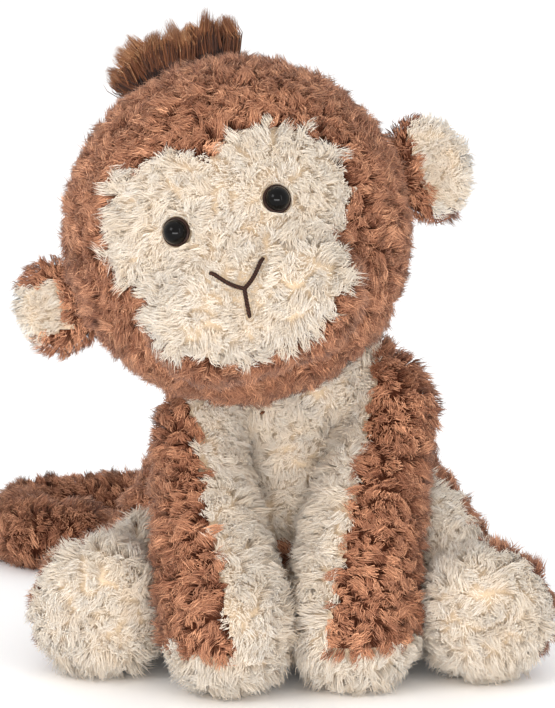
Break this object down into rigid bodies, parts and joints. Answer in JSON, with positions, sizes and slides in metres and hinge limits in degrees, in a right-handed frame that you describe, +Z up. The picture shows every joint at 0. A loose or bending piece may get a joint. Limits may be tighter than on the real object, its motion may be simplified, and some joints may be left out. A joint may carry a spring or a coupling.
{
  "type": "stuffed monkey",
  "caption": "Sitting plush monkey with a big round head, curly fur, cream face, hands and soles, and a curled tail.",
  "frame": {"origin": "centre of the flat seat, on the surface that the toy sits on", "axes": "+Z up, the face looks along -Y, and the monkey's own left side is at +X"},
  "size_m": [0.2283, 0.2554, 0.242],
  "materials": {
    "brown_plush": "curly long-pile plush",
    "cream_plush": "curly long-pile plush",
    "tuft_hair": "straight long hair",
    "embroidery_thread": "twisted thread",
    "closing_thread": "twisted thread",
    "label_ribbon": "satin ribbon",
    "pellet_cloth": "plain weave",
    "filling": "loose polyester fibre",
    "eye_plastic": "polished",
    "washer_plastic": "as moulded"
  },
  "bodies": {
    "torso": {"body_panel_left": "brown_plush", "body_panel_right": "brown_plush", "belly_panel": "cream_plush", "body_stuffing": "filling", "pellet_bag": "pellet_cloth", "neck_seam_thread": "closing_thread", "back_seam_thread": "closing_thread", "care_label": "label_ribbon"},
    "neck": {"neck_stuffing": "filling"},
    "head": {"head_panel_left": "brown_plush", "head_panel_right": "brown_plush", "face_panel": "cream_plush", "muzzle_panel": "cream_plush", "head_stuffing": "filling", "eye_left": "eye_plastic", "eye_right": "eye_plastic", "eye_washer_left": "washer_plastic", "eye_washer_right": "washer_plastic", "mouth_stitching": "embroidery_thread", "hair_tuft": "tuft_hair"},
    "ear_left": {"ear_left_front": "cream_plush", "ear_left_back": "brown_plush"},
    "ear_right": {"ear_right_front": "cream_plush", "ear_right_back": "brown_plush"},
    "arm_left": {"arm_left_outer": "brown_plush", "arm_left_inner": "cream_plush", "hand_left": "cream_plush", "arm_left_stuffing": "filling"},
    "arm_right": {"arm_right_outer": "brown_plush", "arm_right_inner": "cream_plush", "hand_right": "cream_plush", "arm_right_stuffing": "filling"},
    "leg_left": {"leg_left_outer": "brown_plush", "leg_left_inner": "cream_plush", "foot_left_sole": "cream_plush", "leg_left_stuffing": "filling"},
    "leg_right": {"leg_right_outer": "brown_plush", "leg_right_inner": "cream_plush", "foot_right_sole": "cream_plush", "leg_right_stuffing": "filling"},
    "tail": {"tail_cover": "brown_plush", "tail_stuffing": "filling"}
  },
  "joints": [
    {"name": "neck_tilt", "type": "hinge", "parent": "torso", "child": "neck", "pos_m": [0, -0.004, 0.09], "axis": [0, 1, 0], "range_deg": [-2, 20], "stiffness_Nm_per_rad": 2},
    {"name": "neck_turn", "type": "hinge", "parent": "neck", "child": "head", "pos_m": [0, -0.004, 0.09], "axis": [-0.2821, -0.1411, 0.949], "range_deg": [-35, 35], "stiffness_Nm_per_rad": 1},
    {"name": "ear_left_flop", "type": "hinge", "parent": "head", "child": "ear_left", "pos_m": [0.03985, -0.01027, 0.17716], "axis": [-0.3102, 0.2081, 0.9276], "range_deg": [-25, 25], "stiffness_Nm_per_rad": 0.02},
    {"name": "ear_right_flop", "type": "hinge", "parent": "head", "child": "ear_right", "pos_m": [-0.07985, -0.01441, 0.13805], "axis": [-0.3102, 0.2081, 0.9276], "range_deg": [-25, 25], "stiffness_Nm_per_rad": 0.02},
    {"name": "shoulder_left", "type": "hinge", "parent": "torso", "child": "arm_left", "pos_m": [0.038, -0.018, 0.094], "axis": [-1, 0, 0], "range_deg": [0, 60], "stiffness_Nm_per_rad": 0.1},
    {"name": "shoulder_right", "type": "hinge", "parent": "torso", "child": "arm_right", "pos_m": [-0.038, -0.019, 0.085], "axis": [-1, 0, 0], "range_deg": [0, 50], "stiffness_Nm_per_rad": 0.1},
    {"name": "hip_left", "type": "hinge", "parent": "torso", "child": "leg_left", "pos_m": [0.052, 0.008, 0.026], "axis": [-0.8082, -0.2585, 0.5292], "range_deg": [0, 35], "stiffness_Nm_per_rad": 0.15},
    {"name": "hip_right", "type": "hinge", "parent": "torso", "child": "leg_right", "pos_m": [-0.05, 0.006, 0.026], "axis": [-0.7929, 0.319, -0.5192], "range_deg": [0, 35], "stiffness_Nm_per_rad": 0.15},
    {"name": "tail_swing", "type": "hinge", "parent": "torso", "child": "tail", "pos_m": [0, 0.042, 0.0145], "axis": [0, 0, 1], "range_deg": [-20, 20], "stiffness_Nm_per_rad": 0.05}
  ]
}
